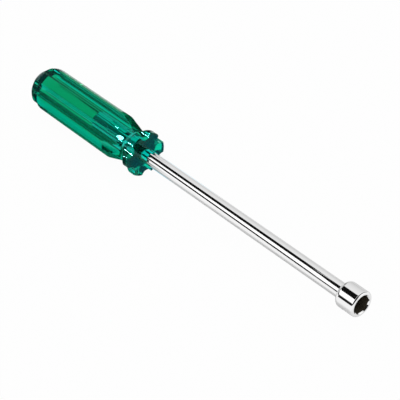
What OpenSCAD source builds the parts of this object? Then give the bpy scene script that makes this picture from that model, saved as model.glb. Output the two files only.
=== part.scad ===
// Nut driver: a fluted handle of clear green plastic, a hollow chrome-plated shaft driven
// into it, and a hexagon socket fixed on the end of the shaft.
// The tool lies along X. The origin is the middle of the socket's mouth, +X points out of the
// mouth, and +Z is up when the tool lies on two of the handle's lobes.

/* [Handle] */
// Diameter over the lobes of the fluted bar
handle_d = 24.1; // [22:0.1:32]
// Length of the handle from the collar's front face to the butt
handle_l = 89.4; // [78:0.1:120]
// Number of flutes round the bar
flute_count = 6; // [5:1:7]
// Radius of a flute's round bottom
flute_r = 3.1; // [2.6:0.1:3.6]
// Depth of a flute below the lobes
flute_depth = 2.9; // [1.5:0.1:3.2]
// Rounding between a lobe and a flute
lobe_edge_r = 0.7; // [0.4:0.1:1.2]
// Bevel round the front edge of the collar
collar_bevel = 0.6; // [0.2:0.1:1]
// Length of the collar over its full lobes
collar_l = 4.4; // [3:0.1:5]
// Diameter of the turned neck at its thinnest
neck_d = 17.6; // [16:0.1:19]
// Distance from the collar's front face to the thinnest part of the neck
neck_back = 10.2; // [9.6:0.1:12]
// Radius in the bottom of the neck
neck_r = 3.6; // [2:0.1:4]
// Distance from the collar's front face to the start of the straight body
body_back = 21.8; // [18:0.1:28]
// Rounding where the body turns into the butt
butt_edge_r = 8; // [3:0.1:9]
// Radius of the domed end of the butt
butt_dome_r = 24; // [18:0.5:40]

/* [Shaft] */
// Outer diameter of the shaft
shaft_d = 7.62; // [6:0.02:8.4]
// Diameter of the shaft's bore, which takes the end of a bolt
shaft_bore_d = 5.2; // [4:0.1:5.6]
// Length from the collar's front face to the mouth of the socket
blade_l = 152.4; // [75:0.1:250]
// Length of the shaft inside the handle
tang_l = 38.1; // [30:0.1:50]
// Bevel on the rear end of the shaft
tang_bevel = 0.5; // [0.2:0.1:0.8]
// Length of a wing on the embedded end
wing_l = 9; // [6:0.5:12]
// Height of a wing above the shaft
wing_h = 0.8; // [0.5:0.1:2]
// Thickness of a wing
wing_t = 1.6; // [1:0.1:2.4]
// Distance from the collar's front face to the front of the wings
wing_back = 12; // [6:0.5:16]

/* [Socket] */
// Outer diameter of the socket
socket_d = 13.2; // [13:0.05:16]
// Length of the straight outside of the socket, with its front edge
socket_l = 9.1; // [8:0.1:16]
// Rounding of the socket's front edge, which leaves a narrow flat ring round the mouth
socket_edge_r = 1; // [0.2:0.05:1.2]
// Length of the thin lip behind the shoulder, where the shaft goes in
lip_l = 0.4; // [0.2:0.1:3]
// Wall of that lip round the shaft
lip_wall = 0.25; // [0.2:0.05:0.8]
// Hexagon over its flats, 11/32 in with its working clearance
hex_flats = 8.8; // [8:0.02:9]
// Depth of the hexagon
hex_l = 8; // [6:0.1:10]
// Lead-in bevel at the mouth, beyond the corners of the hexagon
mouth_lead = 0.05; // [0.02:0.01:0.1]

/* [Fits] */
// Gap round the shaft and its wings in the handle
handle_fit = 0.03; // [0.01:0.01:0.1]
// Gap round the shaft in the socket
socket_fit = 0.01; // [0:0.01:0.05]

/* [Hidden] */
$fn = 96;

// Length by which a cut runs past the surface it cuts
overrun = 1;

// Half sizes
handle_r = handle_d / 2;
shaft_r = shaft_d / 2;
socket_r = socket_d / 2;

// Angle from one flute to the next
flute_turn = 360 / flute_count;
// Distance of a flute's centre from the axis
flute_out = handle_r - flute_depth + flute_r;
// Middle of the rounding beside a flute: it touches the bar's outside and the flute from within the lobe
edge_out = handle_r - lobe_edge_r;
edge_to_flute = flute_r + lobe_edge_r;
edge_turn = side_angle(edge_out, flute_out, edge_to_flute);
edge_mid = edge_out * heading(edge_turn);
// Where the rounding meets the bar's outside and the flute
edge_on_bar = handle_r * heading(edge_turn);
edge_on_flute = [flute_out, 0] + (edge_mid - [flute_out, 0]) * flute_r / edge_to_flute;
// The sharp corner that the rounding takes off, and a point outside the bar above it
corner_turn = side_angle(handle_r, flute_out, flute_r);
corner = handle_r * heading(corner_turn);
corner_above = handle_r / cos(edge_turn - corner_turn) * heading(corner_turn);

// Middle of the round bottom of the neck, as [radius, distance behind the collar's face]
neck_mid = [neck_d / 2 + neck_r, neck_back];
// Rear edge of the collar and front edge of the body, on the outside of the bar
collar_edge = [handle_r, collar_l];
body_edge = [handle_r, body_back];
// Where straight flanks from those edges touch the round bottom
collar_touch = touch_point(collar_edge, neck_mid, neck_r, -1);
body_touch = touch_point(body_edge, neck_mid, neck_r, 1);

// Middle of the dome and of the rounding that runs into it
dome_mid = [0, handle_l - butt_dome_r];
butt_rise = sqrt(pow(butt_dome_r - butt_edge_r, 2) - pow(handle_r - butt_edge_r, 2));
butt_mid = [handle_r - butt_edge_r, dome_mid.y + butt_rise];
// The dome ends on the line from its middle through the middle of the rounding
dome_side = dome_mid + (butt_mid - dome_mid) * butt_dome_r / (butt_dome_r - butt_edge_r);

// Length of the shaft from the bottom of the hexagon to its rear end
shaft_l = blade_l + tang_l - hex_l;

// Sides of the hexagon and half the angle that one side covers
hex_sides = 6;
hex_half_turn = 180 / hex_sides;
// Corner radius of the hexagon and radius of the lead-in at the mouth
hex_corner_r = hex_flats / 2 / cos(hex_half_turn);
mouth_r = hex_corner_r + mouth_lead;
// The shoulder is a quarter round from the socket's outside down to the lip
lip_r = shaft_r + lip_wall;
shoulder_r = socket_r - lip_r;
socket_all_l = socket_l + shoulder_r + lip_l;

// Unit vector at an angle
function heading(turn) = [cos(turn), sin(turn)];

// Angle between sides a and b of a triangle whose third side is c
function side_angle(a, b, c) = acos((a * a + b * b - c * c) / (2 * a * b));

// Point where a straight line from p touches a circle of radius r about mid, on the given side
function touch_point(p, mid, r, side) =
    let (reach = p - mid)
    let (turn = atan2(reach.y, reach.x) + side * acos(r / norm(reach)))
    mid + r * heading(turn);

// Stands a shape that was drawn along Z along X, with its top towards +X
module along_x() {
    rotate([0, 90, 0])
        children();
}

// Turns a half section about the axis: radius to the right, distance behind a face upwards
module turned(face_back) {
    translate([0, 0, -face_back])
        mirror([0, 0, 1])
            rotate_extrude()
                children();
}

// Corner piece that rounds one side of a flute into the lobe beside it
module lobe_edge_cut() {
    difference() {
        polygon([edge_mid, edge_on_bar, corner_above, corner, edge_on_flute]);
        translate(edge_mid)
            circle(r = lobe_edge_r);
    }
}

// Cross-section of the fluted bar, with a flute at the bottom
module fluted_section() {
    difference() {
        circle(r = handle_r);
        for (i = [0 : flute_count - 1])
            rotate(i * flute_turn) {
                translate([flute_out, 0])
                    circle(r = flute_r);
                lobe_edge_cut();
                mirror([0, 1])
                    lobe_edge_cut();
            }
    }
}

// Half section of the bar with its butt: a dome with a rounding into the body
module butt_half() {
    intersection() {
        square([handle_r, handle_l]);
        union() {
            square([handle_r, butt_mid.y]);
            translate(butt_mid)
                circle(r = butt_edge_r);
            intersection() {
                translate(dome_mid)
                    circle(r = butt_dome_r);
                polygon([dome_mid, dome_side, [dome_side.x, handle_l], [0, handle_l]]);
            }
        }
    }
}

// Half section of the groove that leaves the collar and the neck
module neck_half() {
    translate(neck_mid)
        circle(r = neck_r);
    polygon([
        collar_edge, collar_touch, neck_mid, body_touch, body_edge,
        [handle_r + overrun, body_back], [handle_r + overrun, collar_l]
    ]);
}

// Half section of the bevel round the collar's front edge
module collar_bevel_half() {
    polygon([
        [handle_r - collar_bevel - overrun, -overrun],
        [handle_r + overrun, -overrun],
        [handle_r + overrun, collar_bevel + overrun]
    ]);
}

// Solid shaft with its wings, larger by a gap: the shaft itself, or its place in the handle
module shaft_body(gap) {
    turned(hex_l)
        polygon([
            [0, 0],
            [shaft_r + gap, 0],
            [shaft_r + gap, shaft_l - tang_bevel],
            [shaft_r + gap - tang_bevel, shaft_l + gap],
            [0, shaft_l + gap]
        ]);
    for (side = [0, 1])
        mirror([0, side, 0])
            wing(gap);
}

// One wing, with sloped ends as the forging die leaves it
module wing(gap) {
    translate([wing_t / 2 + gap, 0, -blade_l - wing_back])
        rotate([0, -90, 0])
            linear_extrude(wing_t + 2 * gap)
                polygon([
                    [gap, 0],
                    [gap, shaft_r],
                    [gap - wing_h, shaft_r + wing_h + gap],
                    [wing_h - wing_l - gap, shaft_r + wing_h + gap],
                    [-wing_l - gap, shaft_r],
                    [-wing_l - gap, 0]
                ]);
}

// Clear handle: the fluted bar, turned to its collar, neck and dome, round the shaft
module handle() {
    color([0.02, 0.55, 0.38, 0.75])
        along_x()
            difference() {
                intersection() {
                    turned(blade_l)
                        difference() {
                            butt_half();
                            neck_half();
                            collar_bevel_half();
                        }
                    translate([0, 0, -blade_l - handle_l - overrun])
                        linear_extrude(handle_l + 2 * overrun)
                            fluted_section();
                }
                shaft_body(handle_fit);
            }
}

// Hollow shaft from the bottom of the hexagon to its end in the handle
module shaft() {
    color([0.8, 0.81, 0.82])
        along_x()
            difference() {
                shaft_body(0);
                turned(hex_l - overrun)
                    square([shaft_bore_d / 2, shaft_l + 2 * overrun]);
            }
}

// Half section of the outside of the socket: front edge, straight outside, shoulder and lip
module socket_half() {
    square([socket_r - socket_edge_r, socket_l]);
    translate([0, socket_edge_r])
        square([socket_r, socket_l - socket_edge_r]);
    translate([socket_r - socket_edge_r, socket_edge_r])
        circle(r = socket_edge_r);
    square([lip_r, socket_all_l]);
    intersection() {
        translate([lip_r, socket_l])
            circle(r = shoulder_r);
        translate([lip_r, socket_l])
            square(shoulder_r);
    }
}

// Hexagon socket, bored at the back for the shaft
module socket() {
    color([0.84, 0.85, 0.86])
        along_x()
            difference() {
                turned(0)
                    socket_half();
                translate([0, 0, -hex_l])
                    rotate(hex_half_turn)
                        cylinder(r = hex_corner_r, h = hex_l + overrun, $fn = hex_sides);
                turned(-overrun)
                    polygon([
                        [0, 0],
                        [mouth_r + overrun, 0],
                        [0, mouth_r + overrun]
                    ]);
                turned(hex_l - overrun)
                    square([shaft_r + socket_fit, socket_all_l - hex_l + 2 * overrun]);
            }
}

handle();
shaft();
socket();
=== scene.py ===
import math

import bpy
import numpy as np
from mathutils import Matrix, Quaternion, Vector


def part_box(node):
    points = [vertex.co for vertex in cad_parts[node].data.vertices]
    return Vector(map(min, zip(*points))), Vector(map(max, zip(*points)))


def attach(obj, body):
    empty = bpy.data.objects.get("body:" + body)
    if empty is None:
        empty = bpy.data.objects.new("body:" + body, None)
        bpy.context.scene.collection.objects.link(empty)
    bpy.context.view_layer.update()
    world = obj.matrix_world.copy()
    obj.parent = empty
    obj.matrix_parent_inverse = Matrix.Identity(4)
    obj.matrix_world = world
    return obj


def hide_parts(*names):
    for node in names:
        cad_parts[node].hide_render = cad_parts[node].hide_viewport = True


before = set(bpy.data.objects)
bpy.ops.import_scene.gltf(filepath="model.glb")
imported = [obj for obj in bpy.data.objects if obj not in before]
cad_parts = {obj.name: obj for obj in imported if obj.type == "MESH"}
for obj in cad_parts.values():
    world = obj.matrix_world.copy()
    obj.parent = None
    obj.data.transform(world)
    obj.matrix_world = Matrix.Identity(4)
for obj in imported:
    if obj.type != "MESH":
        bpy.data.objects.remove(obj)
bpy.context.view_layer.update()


# Handle: one bar of clear green cellulose plastic with six broached flutes. It is turned to a collar,
# a neck and a domed butt, polished until it is clear, and driven hot over the end of the shaft.

MM = 0.001
scene = bpy.context.scene

# the fluted bar
handle_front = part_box("handle")[1].x
handle_l = 89.4 * MM
handle_r = 12.05 * MM
flute_count = 6
flute_r = 3.1 * MM
flute_depth = 2.9 * MM
lobe_edge_r = 0.7 * MM
# the turned collar, neck and cone, with distances behind the collar's face
face_edge_r = 0.2 * MM
collar_bevel = 0.6 * MM
collar_l = 4.4 * MM
neck_bottom_r = 8.8 * MM
neck_back = 10.2 * MM
neck_round = 3.6 * MM
body_back = 21.8 * MM
# the turned butt
butt_edge_r = 8 * MM
butt_dome_r = 24 * MM
dome_mid = handle_l - butt_dome_r
# the hole that grips the shaft
seat_r = 3.8 * MM
seat_l = 38.05 * MM
seat_bevel = 0.55 * MM
# polish rounds the edges where the turned shape cuts the flutes
edge_blend = 0.15 * MM
sharp_from = math.radians(35)

haze_deep = (0.002, 0.86, 0.86, 1)
haze_pale = (0.004, 0.92, 0.92, 1)
glint_tint = (0.08, 1, 0.95, 1)
green_dye = (0.0, 0.88, 0.79, 1)
dye_density = 250.0
plastic_index = 1.48


def arc(middle, radius, start, end, count):
    """Points on an arc, from angle start up to but not at angle end."""
    turn = np.linspace(start, end, count, endpoint=False)
    return np.stack([middle[0] + radius * np.cos(turn), middle[1] + radius * np.sin(turn)], 1)


def fluted_section():
    """Radius and angle of points round the bar, starting in the middle of a flute."""
    flute_out = handle_r - flute_depth + flute_r
    edge_out = handle_r - lobe_edge_r
    reach = flute_r + lobe_edge_r
    edge_turn = math.acos((edge_out**2 + flute_out**2 - reach**2) / (2 * edge_out * flute_out))
    edge_mid = np.array([edge_out * math.cos(edge_turn), edge_out * math.sin(edge_turn)])
    side = math.atan2(edge_mid[1], edge_mid[0] - flute_out)
    half_lobe = math.pi / flute_count
    flute_points, edge_points, lobe_points = 14, 7, 7
    half = np.concatenate([
        arc((flute_out, 0), flute_r, math.pi, side, flute_points),
        arc(edge_mid, lobe_edge_r, side - math.pi, edge_turn, edge_points),
        arc((0, 0), handle_r, edge_turn, half_lobe, lobe_points),
        [[handle_r * math.cos(half_lobe), handle_r * math.sin(half_lobe)]],
    ])
    radius = np.hypot(half[:, 0], half[:, 1])
    angle = np.arctan2(half[:, 1], half[:, 0])
    radius = np.concatenate([radius, radius[-2:0:-1]])
    angle = np.concatenate([angle, 2 * half_lobe - angle[-2:0:-1]])
    turns = np.arange(flute_count)[:, None] * 2 * half_lobe
    return np.tile(radius, flute_count), (angle[None] + turns).ravel()


def touch(corner, middle, radius, side):
    """Point where a straight flank from a corner touches the round bottom of the neck."""
    reach = np.subtract(corner, middle)
    turn = math.atan2(reach[1], reach[0]) + side * math.acos(radius / np.hypot(*reach))
    return middle[0] + radius * math.cos(turn), middle[1] + radius * math.sin(turn)


def turned_radius(back):
    """Radius that the lathe leaves at distances behind the collar's face."""
    bevel = handle_r - collar_bevel + back
    # the neck's round bottom, between the collar's flank and the cone
    neck_mid = (neck_bottom_r + neck_round, neck_back)
    collar_foot = touch((handle_r, collar_l), neck_mid, neck_round, -1)
    cone_foot = touch((handle_r, body_back), neck_mid, neck_round, 1)
    collar_slope = (handle_r - collar_foot[0]) / (collar_foot[1] - collar_l)
    cone_slope = (handle_r - cone_foot[0]) / (body_back - cone_foot[1])
    flank = handle_r + np.maximum((collar_l - back) * collar_slope, (back - body_back) * cone_slope)
    groove = neck_mid[0] - np.sqrt(np.clip(neck_round**2 - (back - neck_back) ** 2, 0, None))
    in_groove = (back > collar_foot[1]) & (back < cone_foot[1])
    neck = np.where(in_groove, groove, flank)
    # the butt's rounding, which the tool enters at a slight slope, and the dome behind it
    entry_slope = 0.1
    rise = math.sqrt((butt_dome_r - butt_edge_r) ** 2 - (handle_r - butt_edge_r) ** 2)
    past_edge = back - dome_mid - rise
    edge = handle_r - butt_edge_r + np.sqrt(np.clip(butt_edge_r**2 - past_edge**2, 0, None))
    edge = np.where(past_edge < 0, handle_r - entry_slope * past_edge, edge)
    dome = np.sqrt(np.clip(butt_dome_r**2 - (back - dome_mid) ** 2, 0, None))
    on_dome = back > dome_mid + rise * butt_dome_r / (butt_dome_r - butt_edge_r)
    return np.minimum(np.minimum(bevel, neck), np.where(on_dome, dome, edge))


def soft_min(a, b, blend):
    """The smaller of two radii, rounded over where they meet."""
    near = np.clip(blend - np.abs(a - b), 0, None) / blend
    return np.minimum(a, b) - near**2 * blend / 4


def ring_mesh(name, rings):
    """A mesh from rings of points along X, closed at the axis at both ends."""
    count = rings.shape[1]
    last = (len(rings) - 1) * count
    points = rings.reshape(-1, 3).tolist()
    here = np.arange(count)
    onward = np.roll(here, -1)
    pairs = list(zip(here.tolist(), onward.tolist()))
    faces = []
    for a in range(0, last, count):
        b = a + count
        faces += np.stack([a + here, b + here, b + onward, a + onward], 1).tolist()
    first_mid = len(points)
    last_mid = first_mid + 1
    points += [[float(ring[:, 0].mean()), 0, 0] for ring in (rings[0], rings[-1])]
    faces += [[first_mid, k, m] for k, m in pairs]
    faces += [[last + m, last + k, last_mid] for k, m in pairs]
    mesh = bpy.data.meshes.new(name)
    mesh.from_pydata(points, [], faces)
    mesh.shade_smooth()
    mesh.set_sharp_from_angle(angle=sharp_from)
    piece = bpy.data.objects.new(name, mesh)
    scene.collection.objects.link(piece)
    return piece


def handle_mesh():
    """The bar as rings of points: out of the shaft's seat, over the face and back to the butt."""
    section_r, angle = fluted_section()
    rings = []

    def ring(back, radius):
        radius = np.broadcast_to(radius, angle.shape)
        x = np.full_like(angle, handle_front - back)
        rings.append(np.stack([x, -radius * np.sin(angle), radius * np.cos(angle)], 1))

    # the shaft's seat, from its bottom to the face
    for share in (0.1, 0.5, 1):
        ring(seat_l, (seat_r - seat_bevel) * share)
    for share in (1, 0.66, 0.33, 0):
        ring((seat_l - seat_bevel) * share, seat_r)
    # the flat face, out to its rounded edge
    flat_r = soft_min(section_r, turned_radius(np.zeros(1)), edge_blend) - face_edge_r
    for share in (0.01, 0.2, 0.4, 0.6, 0.8, 0.99):
        ring(0, seat_r + (flat_r - seat_r) * share)
    for turn in np.linspace(0, math.pi / 2, 6)[:-1]:
        ring(face_edge_r * (1 - math.cos(turn)), flat_r + face_edge_r * math.sin(turn))
    # the collar, neck and cone, then the straight body, then the butt's rounding and its dome
    cone_end, body_start, body_end = body_back + 5 * MM, body_back + 6 * MM, handle_l - 22 * MM
    butt_start, butt_end, dome_start = handle_l - 20 * MM, handle_l - 4 * MM, handle_l - 1.2 * MM
    outside = np.concatenate([
        np.arange(face_edge_r, cone_end, 0.22 * MM),
        np.arange(body_start, body_end, 3 * MM),
        np.arange(butt_start, butt_end, 0.3 * MM),
    ])
    outside = np.append(outside, np.linspace(outside[-1], dome_start, 14)[1:])
    for back in outside:
        ring(back, soft_min(section_r, turned_radius(np.array([back])), edge_blend))
    # the middle of the dome, where the flutes have run out
    dome_turn = math.acos((dome_start - dome_mid) / butt_dome_r)
    for turn in np.linspace(dome_turn, 0, 12)[1:-1]:
        ring(dome_mid + butt_dome_r * math.cos(turn), butt_dome_r * math.sin(turn))
    return ring_mesh("handle_bar", np.array(rings))


class Wire:
    """An output socket, so that sums of sockets read as sums."""

    def __init__(self, tree, socket=None):
        self.tree, self.socket = tree, socket

    def node(self, kind, settings=None, sockets=None, out=0):
        """Adds a node: its settings first, then the values or wires of its sockets."""
        made = self.tree.nodes.new(kind)
        for name, value in (settings or {}).items():
            setattr(made, name, value)
        for name, value in (sockets or {}).items():
            if isinstance(value, Wire):
                self.tree.links.new(value.socket, made.inputs[name])
            else:
                made.inputs[name].default_value = value
        return Wire(self.tree, made.outputs[out] if len(made.outputs) else None)

    def maths(self, operation, a, b):
        return self.node("ShaderNodeMath", {"operation": operation}, {0: a, 1: b})

    def __add__(self, other):
        return self.maths("ADD", self, other)

    def __radd__(self, other):
        return self.maths("ADD", other, self)

    def __sub__(self, other):
        return self.maths("SUBTRACT", self, other)

    def __rsub__(self, other):
        return self.maths("SUBTRACT", other, self)

    def __mul__(self, other):
        return self.maths("MULTIPLY", self, other)

    def __rmul__(self, other):
        return self.maths("MULTIPLY", other, self)


def new_material(name):
    """An empty material and a wire that starts its nodes."""
    material = bpy.data.materials.new(name)
    material.use_nodes = True
    material.node_tree.nodes.clear()
    return material, Wire(material.node_tree)


def tinted(share, under, over):
    """One colour that gives way to another as the share rises."""
    return share.node("ShaderNodeMix", {"data_type": "RGBA"}, {
        "Factor": share, "A": under, "B": over}, out="Result")


def clear_green():
    """Dyed clear plastic with a faint haze, and with faint streaks along the drawn bar."""
    material, start = new_material("clear_green_plastic")
    place = start.node("ShaderNodeTexCoord", out="Object")
    haze = start.node("ShaderNodeTexNoise", {}, {"Vector": place, "Scale": 60.0, "Detail": 3.0})
    drawn = start.node("ShaderNodeVectorMath", {"operation": "MULTIPLY"}, {0: place, 1: (0.04, 1, 1)})
    streak = start.node("ShaderNodeTexNoise", {}, {"Vector": drawn, "Scale": 900.0, "Detail": 2.0})
    bump = start.node("ShaderNodeBump", {}, {"Strength": 0.02, "Distance": 0.3 * MM, "Height": streak})
    skin = start.node("ShaderNodeBsdfPrincipled", {}, {
        "Base Color": tinted(haze, haze_deep, haze_pale), "Roughness": 0.006 + 0.014 * haze,
        "IOR": plastic_index, "Transmission Weight": 0.98, "Specular Tint": glint_tint, "Normal": bump})
    depth = start.node("ShaderNodeVolumeAbsorption", {}, {"Color": green_dye, "Density": dye_density})
    start.node("ShaderNodeOutputMaterial", {}, {"Surface": skin, "Volume": depth})
    return material


handle = handle_mesh()
handle.data.materials.append(clear_green())
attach(handle, "root")
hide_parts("handle")


# Shaft: a straight steel tube, ground, polished and chrome-plated. Its rear end is driven into the
# handle and shows through the plastic, cut square. The plate doesn't reach into the bore, where the bare
# steel's dark colour also paints the shade inside it.

plate_dull = (0.86, 0.86, 0.86, 1)
plate_bright = (0.92, 0.92, 0.92, 1)
# bare steel inside the bores, dark enough to paint the shade inside them too
bare_steel_shade = (0.1, 0.085, 0.06, 1)
facing_out = 0.4


def chrome(name, bare_shaded_r, plated_x):
    """Bright plate. Within the given radius the steel is bare, in a dark colour that also paints the
    shade inside the bore, apart from faces that look out ahead of plated_x.
    """
    material, start = new_material(name)
    place = start.node("ShaderNodeTexCoord", out="Object")
    smear = start.node("ShaderNodeTexNoise", {}, {"Vector": place, "Scale": 90.0, "Detail": 4.0})
    along = start.node("ShaderNodeSeparateXYZ", {}, {"Vector": place}, out="X")
    across = start.node("ShaderNodeVectorMath", {"operation": "MULTIPLY"}, {0: place, 1: (0, 1, 1)})
    radius = start.node("ShaderNodeVectorMath", {"operation": "LENGTH"}, {0: across}, out="Value")
    facing = start.node("ShaderNodeNewGeometry", out="Normal")
    forward = start.node("ShaderNodeSeparateXYZ", {}, {"Vector": facing}, out="X")
    inside = start.maths("LESS_THAN", radius, bare_shaded_r)
    sideways = start.maths("LESS_THAN", forward, facing_out)
    deep = start.maths("LESS_THAN", along, plated_x)
    # bare steel inside the bores, whose dark colour also paints their shade
    bare = inside * start.maths("MAXIMUM", sideways, deep)
    metal = start.node("ShaderNodeBsdfPrincipled", {}, {
        "Base Color": tinted(bare, tinted(smear, plate_dull, plate_bright), bare_steel_shade),
        "Metallic": 1.0 - 0.5 * bare, "Roughness": 0.03 + 0.04 * smear + 0.4 * bare})
    start.node("ShaderNodeOutputMaterial", {}, {"Surface": metal})
    return material


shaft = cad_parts["shaft"]
shaft.data.materials.clear()
shaft.data.materials.append(chrome("shaft_chrome", 2.7 * MM, 10 * MM))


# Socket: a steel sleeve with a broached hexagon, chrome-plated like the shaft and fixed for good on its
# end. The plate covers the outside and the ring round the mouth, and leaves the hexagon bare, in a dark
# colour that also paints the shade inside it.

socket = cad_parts["socket"]
socket.data.materials.clear()
socket.data.materials.append(chrome("socket_chrome", 5.2 * MM, -0.55 * MM))


# Floor: a sheet of white paper under the tool. The camera sees it white. What the chrome and the plastic
# see of it is set by painted zones: open white floor, and near the handle a painted green light and a
# painted shadow, with a painted dark strip and a painted teal light.

floor_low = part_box("handle")[0].z
floor_half = 4.0
white_to_camera = 0.97
white = (1, 1, 1, 1)
paper_grey = (0.8, 0.8, 0.8, 1)
lit_through_green = (0.1, 0.8, 0.52, 1)
contact_shadow_green = (0.01, 0.11, 0.05, 1)
shadow_green = (0.01, 0.08, 0.06, 1)
dark_strip_black = (0.01, 0.01, 0.01, 1)
collar_teal_light = (0.16, 0.66, 0.88, 1)


def panel(name, middle, across, along, material):
    """A flat panel with its middle, and half its width and length as vectors."""
    mesh = bpy.data.meshes.new(name)
    middle, across, along = Vector(middle), Vector(across), Vector(along)
    near, far = middle - along, middle + along
    corners = [near - across, near + across, far + across, far - across]
    mesh.from_pydata([tuple(c) for c in corners], [], [[0, 1, 2, 3]])
    mesh.materials.append(material)
    made = bpy.data.objects.new(name, mesh)
    scene.collection.objects.link(made)
    return made


def shining(start, colour, strength=1.0):
    """An even light of one colour."""
    return start.node("ShaderNodeEmission", {}, {"Color": colour, "Strength": strength})


def covered(share, under, over):
    """One surface that gives way to another as the share rises."""
    return share.node("ShaderNodeMixShader", {}, {"Fac": share, 1: under, 2: over})


def white_floor():
    """Paper with painted light and shade in zones along the tool and aside from it, where the camera's
    side is negative.
    """
    material, start = new_material("white_floor")
    camera_ray = start.node("ShaderNodeLightPath", out="Is Camera Ray")
    through_ray = start.node("ShaderNodeLightPath", out="Is Transmission Ray")
    gloss_ray = start.node("ShaderNodeLightPath", out="Is Glossy Ray") * (1.0 - through_ray)
    place = start.node("ShaderNodeTexCoord", out="Object")
    along = start.node("ShaderNodeSeparateXYZ", {}, {"Vector": place}, out="X")
    aside = start.node("ShaderNodeSeparateXYZ", {}, {"Vector": place}, out="Y")

    def rise(value, low, high):
        """0 at low, 1 at high, and smooth between them."""
        return start.node("ShaderNodeMapRange", {"interpolation_type": "SMOOTHSTEP"}, {
            "Value": value, "From Min": low, "From Max": high})

    # open floor: in front of the mouth, on the far side of the handle and on the camera's side
    in_front = rise(along, -0.02, 0.03)
    behind = rise(along, -0.13, -0.15) * rise(aside, 0.012, 0.025)
    beside = rise(aside, -0.008, -0.022)
    open_floor = start.maths("MAXIMUM", in_front, start.maths("MAXIMUM", behind, beside))
    # floor that the collar's face reflects, painted with teal light
    by_collar = rise(along - 0.5 * aside, -0.136, -0.142) * rise(along, -0.17, -0.16)
    by_collar = by_collar * rise(aside, -0.004, 0.0) * rise(aside, 0.035, 0.03)
    # the handle's shadow, wider beside the butt
    by_handle = rise(along, -0.15, -0.17)
    near_shadow = by_handle * rise(aside, -0.045, -0.03)
    far_shadow = rise(along, -0.198, -0.215) * rise(aside, -0.08, -0.05)
    shadow = start.maths("MAXIMUM", near_shadow, far_shadow) * rise(aside, 0.03, 0.01)
    # a painted dark reflection: a black strip on the floor that the foot of the socket reflects
    from_socket = along - 0.585 * aside
    painted_dark_strip = rise(from_socket, -0.017, -0.013) * rise(from_socket, 0.007, 0.003)
    painted_dark_strip = painted_dark_strip * rise(aside, -0.12, -0.15)
    # painted green light under the handle, and a painted contact shadow where two lobes touch the floor
    lit_green = by_handle * rise(aside, 0.022, 0.01) * rise(aside, -0.04, -0.02)
    contact_shadow = by_handle * rise(aside, 0.0075, 0.004) * rise(aside, -0.03, -0.012)
    under_handle = tinted(contact_shadow, tinted(lit_green, white, lit_through_green), contact_shadow_green)

    paper = start.node("ShaderNodeBsdfDiffuse", {}, {"Color": paper_grey})
    seen = covered(camera_ray * white_to_camera + gloss_ray * open_floor, paper, shining(start, white))
    seen = covered(through_ray, seen, shining(start, under_handle))
    seen = covered(gloss_ray * shadow, seen, shining(start, shadow_green))
    seen = covered(gloss_ray * painted_dark_strip, seen, shining(start, dark_strip_black))
    seen = covered(gloss_ray * by_collar, seen, shining(start, collar_teal_light))
    start.node("ShaderNodeOutputMaterial", {}, {"Surface": seen})
    return material


panel("floor", (0, 0, floor_low), (floor_half, 0, 0), (0, floor_half, 0), white_floor())


# Light: a white tent, brighter above. Long white and dark cards stand beside the tool and draw the lines
# along the chrome, dark cloths hang in front of the mouth, and three small lamps light the handle alone.

black_card = 0.005
grey_card = 0.2
black_cloth = 0.01
lamp_face = 160
card_out = 0.5
# where the cards start and end along the tool
past_butt = (-1.0, -0.6)
by_shaft = (-0.6, -0.34)
by_socket = (-0.34, -0.02)
past_mouth = (-0.34, 0.1)
whole_tool = (-0.6, 0.1)


def light_panel(name, middle, across, along, strength, through=None):
    """A panel seen only in reflections and through the plastic, where its strength may differ."""
    material, start = new_material(name)
    light = shining(start, white, strength)
    if through is not None:
        through_ray = start.node("ShaderNodeLightPath", out="Is Transmission Ray")
        light = covered(through_ray, light, shining(start, white, through))
    start.node("ShaderNodeOutputMaterial", {}, {"Surface": light})
    made = panel(name, middle, across, along, material)
    made.visible_camera = False
    made.visible_shadow = False
    made.visible_diffuse = False
    return made


def card(name, turn, half_turn, ends, strength, through=None, lean=0.0, distance=card_out):
    """A long card between two ends along the tool. Turns are in degrees from straight up to the camera's
    side, and lean is the turn per metre by which the card's line departs from the shaft's."""
    a = math.radians(turn)
    out = Vector((0, -math.sin(a), math.cos(a)))
    side = Vector((0, math.cos(a), math.sin(a)))
    half_l = (ends[1] - ends[0]) / 2
    middle = out * distance + Vector(((ends[0] + ends[1]) / 2, 0, 0))
    across = side * distance * math.tan(math.radians(half_turn))
    along = Vector((half_l, 0, 0)) - side * distance * math.tan(math.radians(lean * half_l))
    return light_panel(name, middle, across, along, strength, through)


card("dark_gap_above", 12.5, 18.5, by_shaft, black_card, through=0.2)
card("dark_gap_front", 18.5, 21.5, by_socket, black_card, through=0.2)
card("dark_gap_back", 18, 21, past_butt, grey_card, through=0.12, distance=0.49)
card("dark_gap_left", 72.5, 11, by_shaft, black_card, lean=76)
card("dark_gap_side", 87.5, 11, past_mouth, black_card)
card("white_panel_high", 50, 22, whole_tool, 1.3, distance=0.52)
card("white_panel_low", 104, 22, whole_tool, 1.25, distance=0.52)
for turn in (-60, 0, 60, 120):
    dark_end = card(f"dark_end_{turn + 60}", turn, 31, (-1.0, -0.61), grey_card)
    dark_end.visible_transmission = False

light_panel("dark_wall_left", (0.36, -0.975, 1.0), (0, 1.025, 0), (0, 0, 1), black_cloth)
light_panel("dark_wall_top", (0.36, 1.025, 1.2), (0, 0.975, 0), (0, 0, 0.8), black_cloth)
# a small dark card beside the neck, seen only in reflections: a painted dark reflection on the cone's far
# lobe
neck_card = light_panel("dark_card_neck", (-0.18, 0.02, 0.012), (0.012, 0, 0), (0, 0, 0.017), black_cloth)
neck_card.visible_transmission = False
light_panel("white_card_front", (0.36, 0.35, 0.2), (0, 0.2, 0), (0, 0, 0.2), 1.1)

lamp_lit = bpy.data.collections.new("lamp_lit")
lamp_lit.objects.link(handle)


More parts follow.
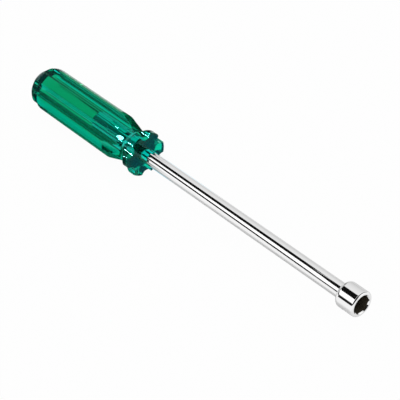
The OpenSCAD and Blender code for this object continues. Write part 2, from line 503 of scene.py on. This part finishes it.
def small_lamp(name, mark, toward, distance, half_across, half_along):
    """A small bright lamp face, aimed at a mark on the handle."""
    toward = Vector(toward).normalized()
    along = (Vector((1, 0, 0)) - toward * toward.x).normalized()
    middle = Vector(mark) + toward * distance
    across = toward.cross(along) * half_across
    made = light_panel(name, middle, across, along * half_along, lamp_face)
    made.visible_transmission = False
    made.light_linking.receiver_collection = lamp_lit


small_lamp("lamp_neck", (-0.166, -0.007, 0.0066), (-0.147, -0.70, 0.69), 0.42, 0.09, 0.0053)
small_lamp("lamp_edge", (-0.17015, -0.00477, 0.00977), (-0.1755, -0.2445, 0.9541), 0.42, 0.03, 0.0008)
small_lamp("lamp_back", (-0.156, -0.006, 0.007), (-0.65, -0.518, 0.556), 0.5, 0.02, 0.008)

wall_low, wall_rise, wall_through = 0.6, 0.35, 0.85
world = bpy.data.worlds.new("studio")
world.use_nodes = True
world.node_tree.nodes.clear()
air = Wire(world.node_tree)
camera_ray = air.node("ShaderNodeLightPath", out="Is Camera Ray")
through_ray = air.node("ShaderNodeLightPath", out="Is Transmission Ray")
direction = air.node("ShaderNodeTexCoord", out="Generated")
height = air.node("ShaderNodeSeparateXYZ", {}, {"Vector": direction}, out="Z")
wall = wall_low + wall_rise * air.maths("MAXIMUM", height, 0.0)
brightness = wall + camera_ray * (1.0 - wall) + through_ray * (wall_through - wall)
tent = air.node("ShaderNodeBackground", {}, {"Color": white, "Strength": brightness})
air.node("ShaderNodeOutputWorld", {}, {"Surface": tent})
scene.world = world
scene.view_settings.view_transform = "Standard"


# Camera: a long lens in front of the mouth, above the tool and on its right-hand side. Its place and its
# slight roll were fitted to the outline of the tool in the photograph.

eye = Vector((0.32408, -0.36988, 0.42305))
sight = Vector((-0.60939, 0.51844, -0.59988))
roll = math.radians(-0.18)
lens = bpy.data.cameras.new("camera")
lens.lens = 130.6
lens.sensor_width = 36
lens.shift_x = 0.0006
lens.shift_y = 0.0009
camera = bpy.data.objects.new("camera", lens)
camera.location = eye
camera.rotation_mode = "QUATERNION"
camera.rotation_quaternion = sight.to_track_quat("-Z", "Y") @ Quaternion((0, 0, 1), roll)
scene.collection.objects.link(camera)
scene.camera = camera
